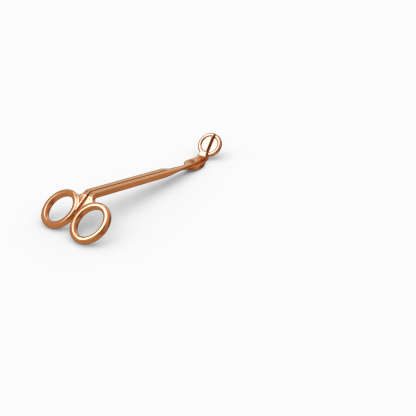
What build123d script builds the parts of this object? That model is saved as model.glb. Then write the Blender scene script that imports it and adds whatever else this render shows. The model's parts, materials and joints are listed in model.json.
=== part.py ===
from build123d import *
import math
import os

# Wick trimmer: long scissors with two finger loops bent down and two half-moon
# blades bent up. The blades meet as a shallow round dish that catches the cut wick.
#
# The levers are drawn closed, in the shank frame: X to the right, Y from the handle
# bend towards the head, and Z up out of the shanks, with Z = 0 halfway through them.
# The "flat" layouts of loops and blades are drawn before their bends are made.
# At the end everything is laid down on its loops and its neck, as it rests on a table.

# Shanks: two bars side by side
SHANK_WIDTH = 4.85          # of each bar
SHANK_THICK = 4.3
SHANK_SEAM = 0.85           # gap between the closed bars
SHANK_LEAN = 0.016          # sideways lean of the closed bars, per mm of length
EDGE_ROUND = 0.5            # rounding of the bars' long edges

# Handle: finger loops, bent down from the shanks
HANDLE_BEND = 42.6          # degrees
HANDLE_BEND_RADIUS = 2.2    # inside the bend
RING_HOLE_RADIUS = 11.9
RING_WIDE = 4.7             # ring bar, across the hole's edge
RING_THICK = 4.9            # ring bar, through the loop
RING_ROUND = 1.6            # rounding of the ring bar's corners
RING_X = 17.6               # ring centre, from the centre line
RING_Y = 21.1               # ring centre, from the corner of the bend
WEB_THICK = 3.7             # plate that joins ring and shank
WEB_SEAM = 1.9              # gap between the two plates

# Pivot and crossing
PIVOT_X = -0.7
PIVOT_Y = 118.0
HEAD_TURN = 8.0             # degrees that the closed head turns left of the shanks
LAP_GAP = 0.20              # between the levers where they cross
UPPER_RAMP = (74.0, 97.0)   # where the upper lever thins out from below
LOWER_RAMP = (79.0, 94.0)   # where the lower lever thins out from above
BOSS_DEPTH = 1.75           # the lower lever's boss, below its shank
BOSS_REACH = (-14.0, 18.5)  # its start and end, from the pivot
BOSS_FLAT = (-6.0, 9.5)     # its level underside

# Head: half-moon blades, bent up from the neck
UPPER_NECK_X = -6.2         # outer sides of the two necks
LOWER_NECK_X = 2.8
NECK_WAIST = 0.86           # narrowest width of a neck, as part of its width at the bend
WAIST_Y = 2.2               # where the neck is narrowest, past the bend
NECK_LENGTH = 20.7          # from the pivot to the corner of the bend
NECK_BEND = 53.0            # degrees
NECK_BEND_RADIUS = 1.6      # inside the bend
DISH_Y = 13.8               # dish centre, from the corner of the bend
DISH_RADIUS = 11.6
DISH_FLOOR_RADIUS = 7.9
CREST_RADII = (8.9, 10.7)   # inside and outside of the rim's flat crest
SHOULDER_DROP = 1.0         # how far the rim slopes down outside its crest
UPPER_FLOOR = 1.5           # floor thickness of the upper half
RIM_RISE = 0.85             # height of the rim's crest above the floor
UPPER_EDGE_X = 1.9          # the cutting edges pass each other when closed
LOWER_EDGE_X = -0.2
UPPER_RIM_X = 1.3           # where the upper half's rim ends
LOWER_RIM_X = 2.25          # where the lower half's rim ends, clear of the upper edge
BEVEL_WIDTH = 2.1           # ground bevel along the cutting edges
BEVEL_START = 1.5           # where the bevel starts, past the bend
BEVEL_LAND = 0.3            # thickness left at the edge

# Pivot screw and its nut, under the lower lever
SHOULDER_RADIUS = 2.0
BORE_RADIUS = 2.06
SCREW_HEAD_RADIUS = 3.2
SCREW_HEAD_HEIGHT = 1.5
SCREW_SLOT = (0.8, 0.7)     # width and depth
SCREW_SLOT_TURN = 35.0      # degrees from across the head
THREAD_RADIUS = 1.5
THREAD_HOLE_RADIUS = 1.56
RUNNING_GAP = 0.05
POCKET_DEPTH = 0.3          # seat of the thrust washer in the lower lever
POCKET_RADIUS = 4.55
NUT_POCKET_DEPTH = 1.9      # seat of spring washer and nut, from below
NUT_POCKET_RADIUS = 3.7
THRUST_WASHER = (2.06, 4.45, 0.40)   # bore radius, outer radius, thickness
SPRING_WASHER = (1.62, 3.1, 0.60)
SPRING_WASHER_SPLIT = 0.5
SPRING_WASHER_TURN = 200.0  # degrees from the head's right to the split
NUT_HALF_FLATS = 2.75
NUT_THICK = 1.25

HALF = SHANK_THICK / 2
LAP = LAP_GAP / 2
FAR = 200.0                 # longer than the part, for cutting blocks
SPARE = 1.0                 # how far a cut runs past the face that it opens
NECK_TANGENT = NECK_BEND_RADIUS * math.tan(math.radians(NECK_BEND) / 2)
HANDLE_TANGENT = (HANDLE_BEND_RADIUS + SHANK_THICK) * math.tan(math.radians(HANDLE_BEND) / 2)
HANDLE_AXIS = (0, HANDLE_TANGENT, -HALF - HANDLE_BEND_RADIUS)
NECK_AXIS = (0, NECK_LENGTH - NECK_TANGENT, HALF + NECK_BEND_RADIUS)
NUT_SEAT_Z = -HALF - BOSS_DEPTH + NUT_POCKET_DEPTH
HEAD = Pos(PIVOT_X, PIVOT_Y, 0) * Rot(0, 0, HEAD_TURN)


def shank_x(offset, y):
    """X of a line along the leaning shanks, offset from their seam's middle."""
    return offset + SHANK_LEAN * y


def block(x_range, y_range, z_range):
    """A box between two limits on each axis."""
    low = Vector(x_range[0], y_range[0], z_range[0])
    high = Vector(x_range[1], y_range[1], z_range[1])
    size = high - low
    return Pos(*((low + high) * 0.5)) * Box(size.X, size.Y, size.Z)


def bent(flat, axis_point, degrees):
    """A flat layout whose Y starts at the bend's axis, turned to its place past the bend."""
    x, y, z = axis_point
    return Pos(x, y, z) * Rot(degrees, 0, 0) * Pos(0, 0, -z) * flat


def bend(x_range, z_range, axis_point, degrees):
    """The bend itself: a rectangular section turned about the bend's axis."""
    y = axis_point[1]
    section = make_face(Polyline(
        (x_range[0], y, z_range[0]),
        (x_range[1], y, z_range[0]),
        (x_range[1], y, z_range[1]),
        (x_range[0], y, z_range[1]),
        close=True,
    ))
    return revolve(section, Axis(axis_point, (1, 0, 0)), degrees)


def ramp_cut(ramp, side):
    """What is cut away over (side 1) or under (side -1) a lever where it thins out."""
    start = (0, ramp[0], side * HALF)
    end = (0, ramp[1], -side * LAP)
    slope = Spline(start, end, tangents=[(0, 1, 0), (0, 1, 0)])
    rest = Polyline(end, (0, FAR, -side * LAP), (0, FAR, side * FAR), (0, ramp[0], side * FAR), start)
    return extrude(make_face(slope + rest), amount=FAR, dir=(1, 0, 0), both=True)


def head_point(x, y):
    """A point given from the pivot along the turned head, in the shank frame."""
    point = (HEAD * Pos(x, y, 0)).position
    return (point.X, point.Y)


def head_direction(x, y):
    """A direction given along the turned head, in the shank frame."""
    turned = Vector(x, y, 0).rotate(Axis.Z, HEAD_TURN)
    return (turned.X, turned.Y)


def upper_plan():
    """Outline of the upper lever, from the handle bend on the right to the left neck."""
    inner = SHANK_SEAM / 2
    outer = inner + SHANK_WIDTH
    start_y = HANDLE_AXIS[1]
    end_y = NECK_AXIS[1]
    shank_out = (shank_x(outer, 88), 88)
    shank_in = (shank_x(inner, 97), 97)
    neck_in = head_point(UPPER_EDGE_X, end_y)
    neck_out = head_point(UPPER_NECK_X, end_y)
    bar = Polyline(
        shank_in,
        (shank_x(inner, start_y), start_y),
        (shank_x(outer, start_y), start_y),
        shank_out,
    )
    crossing = Spline(
        shank_out,
        (6.0, 101.0),
        head_point(3.9, -2),
        head_point(2.9, 13),
        neck_in,
        tangents=[(SHANK_LEAN, 1), head_direction(-0.1, 1)],
    )
    boss = Spline(
        neck_out,
        head_point(-4.6, 12.5),
        head_point(-5.5, 3),
        head_point(-4.0, -6.8),
        head_point(0.4, -12.6),
        shank_in,
        tangents=[head_direction(0.4, -1), (-SHANK_LEAN, -1)],
    )
    return make_face(bar + crossing + Line(neck_in, neck_out) + boss)


def lower_plan():
    """Outline of the lower lever, from the handle bend on the left to the right neck."""
    inner = -SHANK_SEAM / 2
    outer = inner - SHANK_WIDTH
    start_y = HANDLE_AXIS[1]
    end_y = NECK_AXIS[1]
    shank_out = (shank_x(outer, 96), 96)
    shank_in = (shank_x(inner, 98), 98)
    neck_in = head_point(LOWER_EDGE_X, end_y)
    neck_out = head_point(LOWER_NECK_X, end_y)
    bar = Polyline(
        shank_in,
        (shank_x(inner, start_y), start_y),
        (shank_x(outer, start_y), start_y),
        shank_out,
    )
    crossing = Spline(
        shank_out,
        (-2.8, 105.0),
        head_point(-3.6, -1),
        head_point(-2.8, 13),
        neck_in,
        tangents=[(SHANK_LEAN, 1), head_direction(0.3, 1)],
    )
    boss = Spline(
        neck_out,
        head_point(5.9, 13.2),
        head_point(7.7, 4.0),
        head_point(5.8, -6.0),
        head_point(3.2, -12.5),
        shank_in,
        tangents=[head_direction(0.5, -1), (-SHANK_LEAN, -1)],
    )
    return make_face(bar + crossing + Line(neck_in, neck_out) + boss)


def shank(plan, ramp, side):
    """A lever between its bends: a rounded bar, thinned out for the crossing."""
    bar = extrude(plan, amount=HALF, both=True)
    outline = bar.edges().filter_by(Axis.Z, reverse=True)
    long_edges = outline.filter_by(lambda edge: edge.length > 2 * SHANK_WIDTH)
    bar = fillet(long_edges, EDGE_ROUND)
    return bar - ramp_cut(ramp, side)


def lower_boss():
    """Thicker underside of the lower lever round the pivot."""
    high = -HALF + EDGE_ROUND
    low = -HALF - BOSS_DEPTH
    hump = Polyline(
        (BOSS_REACH[0], high),
        (BOSS_FLAT[0], low),
        (BOSS_FLAT[1], low),
        (BOSS_REACH[1], high),
        close=True,
    )
    side_view = HEAD * extrude(make_face(Plane.YZ * hump), amount=FAR, both=True)
    return extrude(lower_plan(), amount=-HALF - BOSS_DEPTH - SPARE) & side_view


def loop(side):
    """A finger loop and its plate in the flat layout, on the right (1) or left (-1)."""
    centre_y = -(RING_Y - HANDLE_TANGENT)
    mid_radius = RING_HOLE_RADIUS + RING_WIDE / 2
    bar = Pos(mid_radius, 0, 0) * Rot(90, 0, 0) * RectangleRounded(RING_WIDE, RING_THICK, RING_ROUND)
    ring = Pos(RING_X, centre_y, 0) * revolve(bar, Axis.Z)
    inner = SHANK_SEAM / 2
    outer = inner + SHANK_WIDTH
    plate_inner = WEB_SEAM / 2
    plate = Polyline(
        (inner, 0),
        (outer, 0),
        (outer + 0.9, -1.2),
        (outer + 2.5, -2.8),
        (outer + 5.0, -4.1),
        (RING_X - 4, centre_y + mid_radius),
        (RING_X - mid_radius, centre_y - 2),
        (plate_inner, centre_y + 4),
        (plate_inner, -2.5),
        close=True,
    )
    plate = make_face(plate)
    hole = Pos(RING_X, centre_y, 0) * Cylinder(RING_HOLE_RADIUS + RING_WIDE / 2, SHANK_THICK)
    web = extrude(plate, amount=WEB_THICK / 2, both=True) - hole
    both = web + ring
    return both if side > 0 else mirror(both, Plane.YZ)


def handle(side):
    """A loop at its place below the handle bend, with the bend."""
    inner = SHANK_SEAM / 2
    x_range = sorted((side * inner, side * (inner + SHANK_WIDTH)))
    turn = bend(x_range, (-HALF, HALF), HANDLE_AXIS, HANDLE_BEND)
    return turn + bent(loop(side), HANDLE_AXIS, HANDLE_BEND)


def rim(base, floor):
    """The dish's rim as a full ring about the Z axis, from its base up to its crest."""
    crest = floor + RIM_RISE
    profile = make_face(Polyline(
        (DISH_FLOOR_RADIUS, 0, base),
        (DISH_RADIUS, 0, base),
        (DISH_RADIUS, 0, crest - SHOULDER_DROP),
        (CREST_RADII[1], 0, crest),
        (CREST_RADII[0], 0, crest),
        (DISH_FLOOR_RADIUS, 0, floor),
        close=True,
    ))
    return revolve(profile, Axis.Z)


def neck_outline(edge_x, neck_x, end_y):
    """Neck seen from the front: from the bend to the dish's centre line, with a waist."""
    return make_face(Polyline(
        (edge_x, 0),
        (neck_x, 0),
        (neck_x * NECK_WAIST, WAIST_Y),
        (neck_x, 2 * WAIST_Y),
        (neck_x, end_y),
        (edge_x, end_y),
        close=True,
    ))


def neck_ramp(base, start, crest, dish_y):
    """Neck seen from the side: its front rises from the bend to the rim's crest."""
    profile = Plane.YZ * Polyline(
        (0, base),
        (0, start),
        (dish_y - CREST_RADII[1], crest),
        (dish_y, crest),
        (dish_y, base),
        close=True,
    )
    return extrude(make_face(profile), amount=FAR, both=True)


def blade(side, edge_x, neck_x, floor_range, rim_x):
    """A half-moon blade in the flat layout: floor, rim and neck. Side -1 is the left."""
    base, floor = floor_range
    dish_y = DISH_Y - NECK_TANGENT
    dish = Pos(0, dish_y, 0)
    disc = dish * Pos(0, 0, base) * extrude(Circle(DISH_RADIUS), amount=floor - base)
    neck_high = max(floor, base + HALF - LAP)
    hollow = dish * Cylinder(CREST_RADII[0], FAR)
    outline = Pos(0, 0, base) * neck_outline(edge_x, neck_x, dish_y)
    neck = extrude(outline, amount=neck_high - base) - hollow
    half = (disc + neck) & block(sorted((edge_x, side * FAR)), (-FAR, FAR), (-FAR, FAR))
    border = dish * rim(base, floor)
    if neck_high > floor:
        ramp = neck_ramp(base, neck_high, floor + RIM_RISE, dish_y)
        border += (extrude(outline, amount=HALF + RIM_RISE) & ramp) - hollow
    return half + (border & block(sorted((rim_x, side * FAR)), (-FAR, FAR), (-FAR, FAR)))


def upper_bevel():
    """Ground bevel on the front of the upper half's cutting edge."""
    top = LAP + UPPER_FLOOR
    wedge = make_face(Polyline(
        (UPPER_EDGE_X - BEVEL_WIDTH, 0, top),
        (UPPER_EDGE_X, 0, LAP + BEVEL_LAND),
        (UPPER_EDGE_X + SPARE, 0, LAP + BEVEL_LAND),
        (UPPER_EDGE_X + SPARE, 0, top),
        close=True,
    ))
    return Pos(0, BEVEL_START, 0) * extrude(wedge, amount=FAR, dir=(0, 1, 0))


def lower_bevel():
    """Ground bevel on the back of the lower half's cutting edge."""
    wedge = make_face(Polyline(
        (LOWER_EDGE_X + BEVEL_WIDTH, 0, -HALF),
        (LOWER_EDGE_X, 0, -LAP - BEVEL_LAND),
        (LOWER_EDGE_X - SPARE, 0, -LAP - BEVEL_LAND),
        (LOWER_EDGE_X - SPARE, 0, -HALF),
        close=True,
    ))
    return Pos(0, BEVEL_START, 0) * extrude(wedge, amount=FAR, dir=(0, 1, 0))


def right_lever():
    """Upper lever: right finger loop, right shank, left half-moon blade."""
    floor = (LAP, LAP + UPPER_FLOOR)
    half = blade(-1, UPPER_EDGE_X, UPPER_NECK_X, floor, UPPER_RIM_X)
    half -= upper_bevel()
    neck = bend((UPPER_NECK_X, UPPER_EDGE_X), (LAP, HALF), NECK_AXIS, NECK_BEND)
    head = HEAD * (neck + bent(half, NECK_AXIS, NECK_BEND))
    lever = shank(upper_plan(), UPPER_RAMP, -1) + handle(1) + head
    return lever - HEAD * Cylinder(BORE_RADIUS, 3 * SHANK_THICK)


def left_lever():
    """Lower lever: left finger loop, left shank, right half-moon blade."""
    half = blade(1, LOWER_EDGE_X, LOWER_NECK_X, (-HALF, -LAP), LOWER_RIM_X)
    half -= lower_bevel()
    neck = bend((LOWER_EDGE_X, LOWER_NECK_X), (-HALF, -LAP), NECK_AXIS, NECK_BEND)
    head = HEAD * (neck + bent(half, NECK_AXIS, NECK_BEND))
    lever = shank(lower_plan(), LOWER_RAMP, 1) + lower_boss() + handle(-1) + head
    thread_hole = Cylinder(THREAD_HOLE_RADIUS, 3 * SHANK_THICK)
    pocket = Pos(0, 0, -LAP - POCKET_DEPTH) * extrude(Circle(POCKET_RADIUS), amount=HALF)
    nut_pocket = Pos(0, 0, -HALF - BOSS_DEPTH) * Cylinder(NUT_POCKET_RADIUS, 2 * NUT_POCKET_DEPTH)
    return lever - HEAD * (thread_hole + pocket + nut_pocket)


def washer(inner, outer, thick):
    """A flat washer from Z = 0 up."""
    return extrude(Circle(outer) - Circle(inner), amount=thick)


def pivot_screw():
    """Shoulder screw: slotted domed head, shoulder through the upper lever, thread below."""
    head_z = HALF + RUNNING_GAP
    seat_z = -LAP - POCKET_DEPTH
    end_z = NUT_SEAT_Z - SPRING_WASHER[2] - NUT_THICK
    sphere_radius = (SCREW_HEAD_RADIUS**2 + SCREW_HEAD_HEIGHT**2) / (2 * SCREW_HEAD_HEIGHT)
    dome = Pos(0, 0, head_z + SCREW_HEAD_HEIGHT - sphere_radius) * Sphere(sphere_radius)
    dome &= Pos(0, 0, head_z) * extrude(Circle(SCREW_HEAD_RADIUS), amount=SCREW_HEAD_HEIGHT)
    width, depth = SCREW_SLOT
    top = head_z + SCREW_HEAD_HEIGHT
    slot = block((-SCREW_HEAD_RADIUS, SCREW_HEAD_RADIUS), (-width / 2, width / 2), (top - depth, top + SPARE))
    shoulder = Pos(0, 0, seat_z) * extrude(Circle(SHOULDER_RADIUS), amount=head_z - seat_z)
    thread = Pos(0, 0, end_z) * extrude(Circle(THREAD_RADIUS), amount=seat_z - end_z)
    return HEAD * (dome - Rot(0, 0, SCREW_SLOT_TURN) * slot + shoulder + thread)


def thrust_washer():
    """Washer that lies in the lower lever's pocket and carries the upper lever."""
    return HEAD * Pos(0, 0, -LAP - POCKET_DEPTH) * washer(*THRUST_WASHER)


def spring_washer():
    """Split washer between the lower lever and the nut."""
    outer, thick = SPRING_WASHER[1:]
    half_split = SPRING_WASHER_SPLIT / 2
    ring = washer(*SPRING_WASHER)
    ring -= block((0, outer + SPARE), (-half_split, half_split), (-SPARE, thick + SPARE))
    return HEAD * Pos(0, 0, NUT_SEAT_Z - thick) * Rot(0, 0, SPRING_WASHER_TURN) * ring


def pivot_nut():
    """Low hexagon nut, sunk in the underside of the lower lever."""
    hexagon = RegularPolygon(NUT_HALF_FLATS, 6, major_radius=False) - Circle(THREAD_RADIUS)
    return HEAD * Pos(0, 0, NUT_SEAT_Z - SPRING_WASHER[2] - NUT_THICK) * extrude(hexagon, amount=NUT_THICK)


def resting_tilt(lever):
    """Degrees that the shanks tip head-down when loop and neck lie on a flat surface."""
    points = lever.tessellate(0.01)[0]
    head = [point for point in points if point.Y > PIVOT_Y / 2]
    tail = [point for point in points if point.Y < 0]
    flat, steep = 0.0, 30.0
    for _ in range(40):
        tilt = (flat + steep) / 2
        sine, cosine = math.sin(math.radians(tilt)), math.cos(math.radians(tilt))
        head_low, tail_low = (min(p.Z * cosine - p.Y * sine for p in group) for group in (head, tail))
        if head_low > tail_low:
            flat = tilt
        else:
            steep = tilt
    return tilt


def build():
    """All pieces by name, lying as they rest, with the origin under the middle."""
    pieces = {
        "right_lever": right_lever(),
        "left_lever": left_lever(),
        "pivot_screw": pivot_screw(),
        "thrust_washer": thrust_washer(),
        "spring_washer": spring_washer(),
        "pivot_nut": pivot_nut(),
    }
    tilt = resting_tilt(pieces["left_lever"])
    lying = {name: Rot(-tilt, 0, 0) * piece for name, piece in pieces.items()}
    box = Compound(children=[Solid(piece.solid().wrapped) for piece in lying.values()]).bounding_box()
    place = Pos(-box.center().X, -box.center().Y, -box.min.Z)
    pivot = (place * Rot(-tilt, 0, 0) * HEAD).position
    print("tilt", round(tilt, 4), "size", box.size)
    print("pivot", pivot, "axis", (0, math.sin(math.radians(tilt)), math.cos(math.radians(tilt))))
    return {name: place * piece for name, piece in lying.items()}


os.makedirs("parts", exist_ok=True)
for name, piece in build().items():
    export_step(piece, f"parts/{name}.step")
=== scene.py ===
import json
import math

import bpy
import numpy as np
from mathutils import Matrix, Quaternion, Vector


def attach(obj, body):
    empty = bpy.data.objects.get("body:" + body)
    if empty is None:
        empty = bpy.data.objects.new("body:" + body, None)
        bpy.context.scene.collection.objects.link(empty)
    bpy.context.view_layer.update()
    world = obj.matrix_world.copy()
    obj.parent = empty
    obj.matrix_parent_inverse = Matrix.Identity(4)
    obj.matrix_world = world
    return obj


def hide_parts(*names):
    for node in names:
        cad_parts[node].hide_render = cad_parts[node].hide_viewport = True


# Wick trimmer: polished rose-gold levers and screw and steel washers, on a plain pale floor.
# Lengths are in metres, in the frame of the CAD model, unless a comment says otherwise.

MM = 0.001

# Camera, placed by what it looks at
CAMERA_TARGET = Vector((70.29, -9.29, 10.0)) * MM
CAMERA_AZIMUTH = 40.231         # degrees from the -Y side towards +X
CAMERA_ELEVATION = 29.061       # degrees
CAMERA_ROLL = -1.315            # degrees
CAMERA_DISTANCE = 395.7 * MM
CAMERA_LENS = 44.95             # mm
CAMERA_SENSOR = 36              # mm, its width
CAMERA_CLIP = (0.01, 20)

# Levers: zones along Y, and how many smoothing passes each gets
VOXEL = 0.22 * MM               # of the remesh that their soft forged form starts from
PASS_STRENGTH = 0.5
PLATE_START_Y = -58 * MM        # the loops' plates lie past this, up to PLATE_END_Y
PLATE_END_Y = -78 * MM          # the rest of the loops lies past this
HEAD_START_Y = 72 * MM          # the blades lie past this
BORE_ZONE = 5.2 * MM            # from the joint's axis, where the fits stay near the CAD's
ROUND_PASSES = 7                # shanks and bends
PLATE_PASSES = 12
LOOP_PASSES = 4
GROUND_PASSES = 3               # ground blades and bore zone, which stay crisp

# Colours, linear
ROSE_GOLD = (0.88, 0.50, 0.31)
ROSE_GOLD_DEEP = (0.84, 0.45, 0.265)
# The screw's gold is the rose gold darkened as painted shade, standing in for the dark surroundings
# its dome mirrors
SCREW_PAINTED_SHADE_GOLD = (0.58, 0.29, 0.165)
SCREW_PAINTED_SHADE_GOLD_DEEP = (0.46, 0.21, 0.115)
STEEL = (0.62, 0.60, 0.57)
STEEL_DEEP = (0.50, 0.48, 0.45)

# Finish of each metal: roughness of its clean and of its smudged parts, and height of its relief
LEVER_GLOSS = (0.05, 0.13)
LEVER_RELIEF = 0.012 * MM
SCREW_GLOSS = (0.06, 0.15)
WASHER_GLOSS = (0.16, 0.30)
HARDWARE_RELIEF = 0.004 * MM

# Noise in the metal: scale in repeats per metre, and detail in octaves; then the values
# between which it fades in
TARNISH_NOISE = (70.0, 5.0)
TARNISH_RANGE = (0.35, 0.7)
SMUDGE_NOISE = (240.0, 6.0)
SMUDGE_RANGE = (0.4, 0.75)
WEAR_NOISE = (120.0, 2.0)
WEAR_RANGE = (0.45, 0.65)
WAVE_NOISE = (230.0, 1.0)

# Polishing lines, stretched along the levers
POLISH_SCALE = (1400.0, 26.0, 1400.0)
POLISH_NOISE = (1.0, 3.0)       # on the stretched place
POLISH_SHARE = 0.3              # their height, as a share of the relief

# Hairline scratches, in two directions
SCRATCH_SCALE = (1100.0, 45.0, 1100.0)
SCRATCH_NOISE = (1.0, 1.0)      # on the stretched place
SCRATCH_TURNS = (24, -37)       # degrees
SCRATCH_MIDDLE = 0.5            # the noise value that a scratch follows
SCRATCH_BREADTH = 0.02
SCRATCH_TINT = 0.35
SCRATCH_DARKENING = 0.8
SCRATCH_ROUGHNESS = 0.12
SCRATCH_SHARE = 0.1             # their depth, as a share of the relief

# Painted shade on the bars' inner sides, along the seam between the closed bars: a dark brown band
# painted into the colour where shade falls in the gap
SEAM_LEAN = 0.0162              # sideways, per unit of length
SEAM_X = 1.04 * MM              # at Y = 0
SEAM_HALF = (0.50 * MM, 0.85 * MM)
SEAM_END_Y = (18 * MM, 32 * MM)
SEAM_PAINTED_SHADE = (0.17, 0.055, 0.02)

# The room that the metal reflects: soft patches of light and dark on a dim warm surround.
# Each: azimuth, elevation, radius of its full part and to where it fades, in degrees, colour.
SURROUND_LOW = (0.49, 0.30, 0.155)
SURROUND_HIGH = (0.56, 0.38, 0.22)
SURROUND_RISE = (-0.1, 0.3)     # heights on the unit sphere between which low turns to high
BACKDROP = (0.97, 0.97, 0.97)   # what all but mirrored rays see in place of the surround
PATCHES = [
    (216, 16, 14, 45, (0.70, 0.61, 0.46)),
    (0, 86, 8, 32, (0.95, 0.80, 0.60)),
    (56, 42, 22, 36, (0.13, 0.05, 0.026)),
    (104, -26, 12, 22, (0.27, 0.10, 0.045)),
    (172, -33, 20, 32, (0.24, 0.09, 0.04)),
]

# Softboxes overhead, cool enough for the rose gold to show them white or cream.
# Each: centre and size in mm, radiance.
SOFTBOX_HEIGHT = 400 * MM
SOFTBOXES = [
    ((-385, -250), (100, 150), (1.6, 2.6, 3.2)),
    ((-205, -190), (150, 270), (1.14, 1.95, 3.0)),
    ((-300, 60), (120, 120), (1.3, 2.0, 2.6)),
]

# Floor, and the broad light that gives its shadows
FLOOR_REACH = 4.0
FLOOR_GREY = 0.93
FLOOR_ROUGHNESS = 0.9
FLOOR_LIGHT_SIZE = 2.4
FLOOR_LIGHT_HEIGHT = 1.3
FLOOR_LIGHT_POWER = 20          # W


def direction(azimuth, elevation):
    """Unit vector towards an azimuth, from the -Y side towards +X, and an elevation."""
    a = math.radians(azimuth)
    e = math.radians(elevation)
    return Vector((math.sin(a) * math.cos(e), -math.cos(a) * math.cos(e), math.sin(e)))


def placed(name, data):
    """A new object in the scene."""
    thing = bpy.data.objects.new(name, data)
    bpy.context.scene.collection.objects.link(thing)
    return thing


def add_camera():
    """The camera at the viewing angle, tipped by its roll."""
    data = bpy.data.cameras.new("camera")
    data.lens = CAMERA_LENS
    data.sensor_width = CAMERA_SENSOR
    data.clip_start, data.clip_end = CAMERA_CLIP
    camera = placed("camera", data)
    back = direction(CAMERA_AZIMUTH, CAMERA_ELEVATION)
    camera.location = CAMERA_TARGET + back * CAMERA_DISTANCE
    camera.rotation_mode = "QUATERNION"
    roll = Quaternion((0, 0, 1), math.radians(CAMERA_ROLL))
    camera.rotation_quaternion = (-back).to_track_quat("-Z", "Y") @ roll
    bpy.context.scene.camera = camera


class Nodes:
    """Short calls for building a node tree."""

    def __init__(self, tree):
        self.tree = tree

    def add(self, kind, inputs=(), **settings):
        """A new node; inputs are (socket name or number, value or output socket) pairs."""
        node = self.tree.nodes.new(kind)
        for name, value in settings.items():
            setattr(node, name, value)
        for socket, value in inputs:
            self.put(node.inputs[socket], value)
        return node

    def put(self, socket, value):
        """Sets a socket to a value, or links an output to it."""
        if isinstance(value, bpy.types.NodeSocket):
            self.tree.links.new(value, socket)
        else:
            socket.default_value = value

    def math(self, operation, a, b=0.0, c=0.0):
        """Result of a Math node."""
        node = self.add("ShaderNodeMath", [(0, a), (1, b), (2, c)], operation=operation)
        return node.outputs[0]

    def ramp(self, value, low, high, to_low=0.0, to_high=1.0):
        """A value carried smoothly from one range to another, and held at its ends."""
        inputs = [("Value", value), ("From Min", low), ("From Max", high),
                  ("To Min", to_low), ("To Max", to_high)]
        node = self.add("ShaderNodeMapRange", inputs, interpolation_type="SMOOTHSTEP")
        return node.outputs["Result"]

    def mix(self, factor, a, b):
        """A colour between a and b."""
        node = self.tree.nodes.new("ShaderNodeMix")
        node.data_type = "RGBA"
        self.put(node.inputs["Factor"], factor)
        self.put(node.inputs[6], a)
        self.put(node.inputs[7], b)
        return node.outputs[2]

    def noise(self, place, scale, detail):
        """Value of a noise texture."""
        inputs = [("Vector", place), ("Scale", scale), ("Detail", detail)]
        return self.add("ShaderNodeTexNoise", inputs).outputs[0]

    def bumped(self, height, distance, normal=None):
        """Normal of a surface with small relief, over a normal that may have some already."""
        inputs = [("Height", height), ("Strength", 1.0), ("Distance", distance)]
        if normal:
            inputs.append(("Normal", normal))
        return self.add("ShaderNodeBump", inputs).outputs[0]

    def off_from(self, value, middle):
        """How far a value is from a middle one, either way."""
        return self.math("ABSOLUTE", self.math("SUBTRACT", value, middle))


def rgba(colour, strength=1.0):
    """A colour with its alpha, made brighter or darker."""
    return (colour[0] * strength, colour[1] * strength, colour[2] * strength, 1.0)


def with_patches(nodes, towards, colour):
    """The surround's colour with its patches laid over it."""
    for azimuth, elevation, full, fade, patch in PATCHES:
        inputs = [(0, towards), (1, direction(azimuth, elevation))]
        facing = nodes.add("ShaderNodeVectorMath", inputs, operation="DOT_PRODUCT")
        edge = math.cos(math.radians(fade))
        inside = math.cos(math.radians(full))
        cover = nodes.ramp(facing.outputs["Value"], edge, inside)
        colour = nodes.mix(cover, colour, rgba(patch))
    return colour


def add_world():
    """Studio surround for the metal to mirror, and an even backdrop for all other rays."""
    world = bpy.data.worlds.new("studio")
    world.use_nodes = True
    bpy.context.scene.world = world
    nodes = Nodes(world.node_tree)
    world.node_tree.nodes.clear()
    towards = nodes.add("ShaderNodeTexCoord").outputs["Generated"]
    height = nodes.add("ShaderNodeSeparateXYZ", [(0, towards)]).outputs["Z"]
    rise = nodes.ramp(height, *SURROUND_RISE)
    surround = nodes.mix(rise, rgba(SURROUND_LOW), rgba(SURROUND_HIGH))
    surround = with_patches(nodes, towards, surround)
    mirrored = nodes.add("ShaderNodeLightPath").outputs["Is Glossy Ray"]
    colour = nodes.mix(mirrored, rgba(BACKDROP), surround)
    background = nodes.add("ShaderNodeBackground", [("Color", colour)])
    nodes.add("ShaderNodeOutputWorld", [("Surface", background.outputs[0])])


def add_softbox(centre, size, radiance):
    """A rectangular light that faces straight down; the metal mirrors it, the floor ignores it."""
    data = bpy.data.lights.new("softbox", "AREA")
    data.shape = "RECTANGLE"
    data.size = size[0] * MM
    data.size_y = size[1] * MM
    brightest = max(radiance)
    data.energy = brightest * math.pi * data.size * data.size_y
    data.color = [value / brightest for value in radiance]
    light = placed("softbox", data)
    light.visible_diffuse = False
    light.location = (centre[0] * MM, centre[1] * MM, SOFTBOX_HEIGHT)


def add_floor_light():
    """Broad light for the floor, which the metal doesn't reflect."""
    data = bpy.data.lights.new("floor_light", "AREA")
    data.size = FLOOR_LIGHT_SIZE
    data.energy = FLOOR_LIGHT_POWER
    light = placed("floor_light", data)
    light.location = (0, 0, FLOOR_LIGHT_HEIGHT)
    light.visible_glossy = False


def add_floor():
    """Plain floor that only catches shadows; its pale ground is the backdrop's colour."""
    mesh = bpy.data.meshes.new("floor")
    corners = [(x * FLOOR_REACH, y * FLOOR_REACH, 0) for x, y in ((-1, -1), (1, -1), (1, 1), (-1, 1))]
    mesh.from_pydata(corners, [], [(0, 1, 2, 3)])
    floor = placed("floor", mesh)
    material = bpy.data.materials.new("pale_floor")
    material.use_nodes = True
    shader = material.node_tree.nodes["Principled BSDF"]
    shader.inputs["Base Color"].default_value = (FLOOR_GREY, FLOOR_GREY, FLOOR_GREY, 1)
    shader.inputs["Roughness"].default_value = FLOOR_ROUGHNESS
    shader.inputs["Specular IOR Level"].default_value = 0.0
    mesh.materials.append(material)
    floor.visible_glossy = False
    floor.is_shadow_catcher = True


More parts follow.
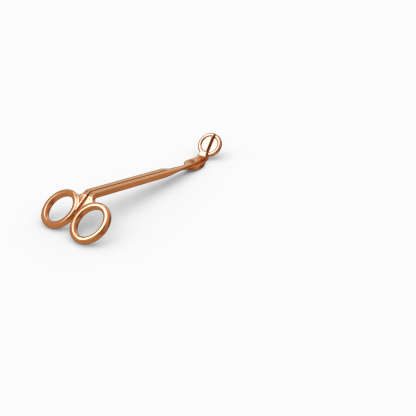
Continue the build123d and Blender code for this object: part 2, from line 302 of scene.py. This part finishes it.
def hairlines(nodes, place, turn):
    """Fine scratches that run one way, 1 on a scratch and 0 beside it."""
    rotation = (0.0, 0.0, math.radians(turn))
    inputs = [("Vector", place), ("Rotation", rotation), ("Scale", SCRATCH_SCALE)]
    along = nodes.add("ShaderNodeMapping", inputs).outputs[0]
    off = nodes.off_from(nodes.noise(along, *SCRATCH_NOISE), SCRATCH_MIDDLE)
    return nodes.ramp(off, 0.0, SCRATCH_BREADTH, 1.0, 0.0)


def wear(nodes, place):
    """Scratches in both directions, in the areas that are worn."""
    first, second = (hairlines(nodes, place, turn) for turn in SCRATCH_TURNS)
    scratches = nodes.math("MAXIMUM", first, second)
    return nodes.math("MULTIPLY", scratches, nodes.ramp(nodes.noise(place, *WEAR_NOISE), *WEAR_RANGE))


def painted_seam_shade(nodes, place):
    """Mask for the painted shade: 1 on the bars' sides along their seam, and 0 elsewhere."""
    axes = nodes.add("ShaderNodeSeparateXYZ", [(0, place)])
    y = axes.outputs["Y"]
    off = nodes.off_from(axes.outputs["X"], nodes.math("MULTIPLY_ADD", y, SEAM_LEAN, SEAM_X))
    near = nodes.ramp(off, *SEAM_HALF, 1.0, 0.0)
    return nodes.math("MULTIPLY", near, nodes.ramp(y, *SEAM_END_Y, 1.0, 0.0))


def metal_tint(nodes, place, worn, colour, deep):
    """Colour that varies a little, is deeper in scratches, and has painted shade along the seam."""
    tarnish = nodes.ramp(nodes.noise(place, *TARNISH_NOISE), *TARNISH_RANGE)
    tint = nodes.mix(tarnish, rgba(colour), rgba(deep))
    scratched = nodes.math("MULTIPLY", worn, SCRATCH_TINT)
    tint = nodes.mix(scratched, tint, rgba(deep, SCRATCH_DARKENING))
    # painted shade: the seam's band of dark brown laid over the tint
    return nodes.mix(painted_seam_shade(nodes, place), tint, rgba(SEAM_PAINTED_SHADE))


def metal_normal(nodes, place, worn, relief):
    """Normal with polishing lines, slight waves and scratches."""
    inputs = [("Vector", place), ("Scale", POLISH_SCALE)]
    stretched = nodes.add("ShaderNodeMapping", inputs).outputs[0]
    lines = nodes.noise(stretched, *POLISH_NOISE)
    normal = nodes.bumped(lines, relief * POLISH_SHARE)
    normal = nodes.bumped(nodes.noise(place, *WAVE_NOISE), relief, normal)
    return nodes.bumped(worn, -relief * SCRATCH_SHARE, normal)


def metal(name, colour, deep, gloss, relief):
    """Polished metal with smudges and scratches, and painted shade along the seam."""
    material = bpy.data.materials.new(name)
    material.use_nodes = True
    nodes = Nodes(material.node_tree)
    shader = material.node_tree.nodes["Principled BSDF"]
    shader.inputs["Metallic"].default_value = 1.0
    place = nodes.add("ShaderNodeTexCoord").outputs["Object"]
    worn = wear(nodes, place)
    smudge = nodes.ramp(nodes.noise(place, *SMUDGE_NOISE), *SMUDGE_RANGE, *gloss)
    rough = nodes.math("MULTIPLY_ADD", worn, SCRATCH_ROUGHNESS, smudge)
    nodes.put(shader.inputs["Base Color"], metal_tint(nodes, place, worn, colour, deep))
    nodes.put(shader.inputs["Roughness"], rough)
    nodes.put(shader.inputs["Normal"], metal_normal(nodes, place, worn, relief))
    return material


def remeshed(node):
    """Even mesh of a CAD solid."""
    source = placed("source", node.data.copy())
    remesh = source.modifiers.new("remesh", "REMESH")
    remesh.mode = "VOXEL"
    remesh.voxel_size = VOXEL
    graph = bpy.context.evaluated_depsgraph_get()
    mesh = bpy.data.meshes.new_from_object(source.evaluated_get(graph), depsgraph=graph)
    bpy.data.objects.remove(source)
    return mesh


def smoothing_passes(points, pivot, axis):
    """How many passes each point gets, by its zone."""
    y = points[:, 1]
    passes = np.full(len(points), float(ROUND_PASSES))
    passes[y < PLATE_START_Y] = PLATE_PASSES
    passes[y < PLATE_END_Y] = LOOP_PASSES
    passes[y > HEAD_START_Y] = GROUND_PASSES
    from_axis = np.linalg.norm(np.cross(points - np.array(pivot), np.array(axis)), axis=1)
    passes[from_axis < BORE_ZONE] = GROUND_PASSES
    return passes


def neighbour_smooth(points, edges, passes):
    """Points moved towards the middle of their neighbours, as many times as each one's passes."""
    count = np.bincount(edges.ravel(), minlength=len(points))[:, None]
    first, second = edges[:, 0], edges[:, 1]
    for number in range(int(passes.max())):
        total = np.zeros_like(points)
        for axis in range(3):
            total[:, axis] += np.bincount(first, points[second, axis], len(points))
            total[:, axis] += np.bincount(second, points[first, axis], len(points))
        middle = total / count
        moving = (PASS_STRENGTH * (passes > number))[:, None]
        points = points + (middle - points) * moving
    return points


def forged(node, name, body, pivot, axis):
    """A lever's soft forged form, made from its CAD solid."""
    mesh = remeshed(node)
    mesh.name = name
    points = np.empty(len(mesh.vertices) * 3)
    mesh.vertices.foreach_get("co", points)
    points = points.reshape(-1, 3)
    edges = np.empty(len(mesh.edges) * 2, np.int64)
    mesh.edges.foreach_get("vertices", edges)
    points = neighbour_smooth(points, edges.reshape(-1, 2), smoothing_passes(points, pivot, axis))
    mesh.vertices.foreach_set("co", points.ravel())
    mesh.polygons.foreach_set("use_smooth", np.ones(len(mesh.polygons), bool))
    mesh.update()
    mesh.materials.clear()
    piece = placed(name, mesh)
    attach(piece, body)
    return piece


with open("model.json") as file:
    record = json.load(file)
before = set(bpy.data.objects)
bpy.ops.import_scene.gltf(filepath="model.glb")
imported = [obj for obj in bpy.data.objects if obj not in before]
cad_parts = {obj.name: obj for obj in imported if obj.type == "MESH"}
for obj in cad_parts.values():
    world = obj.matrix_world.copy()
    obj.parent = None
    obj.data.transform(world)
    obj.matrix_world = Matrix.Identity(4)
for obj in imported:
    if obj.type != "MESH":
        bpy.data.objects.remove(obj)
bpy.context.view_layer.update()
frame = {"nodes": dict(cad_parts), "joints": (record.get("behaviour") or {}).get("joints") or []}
joint = frame["joints"][0]
pivot = Vector(joint["pos_m"])
axis = Vector(joint["axis"]).normalized()

bpy.context.scene.view_settings.view_transform = "Standard"
add_camera()
add_world()
for softbox in SOFTBOXES:
    add_softbox(*softbox)
add_floor_light()
add_floor()

lever_metal = metal("lever_metal", ROSE_GOLD, ROSE_GOLD_DEEP, LEVER_GLOSS, LEVER_RELIEF)
# darker gold for the screw and nut: painted shade
screw_metal = metal("screw_metal", SCREW_PAINTED_SHADE_GOLD, SCREW_PAINTED_SHADE_GOLD_DEEP, SCREW_GLOSS, HARDWARE_RELIEF)
washer_metal = metal("washer_metal", STEEL, STEEL_DEEP, WASHER_GLOSS, HARDWARE_RELIEF)

for name, body in (("left_lever", "lower_lever"), ("right_lever", "upper_lever")):
    piece = forged(frame["nodes"][name], name + "_forged", body, pivot, axis)
    piece.data.materials.append(lever_metal)
    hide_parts(name)

for name, material in (
    ("pivot_screw", screw_metal),
    ("pivot_nut", screw_metal),
    ("thrust_washer", washer_metal),
    ("spring_washer", washer_metal),
):
    frame["nodes"][name].material_slots[0].material = material
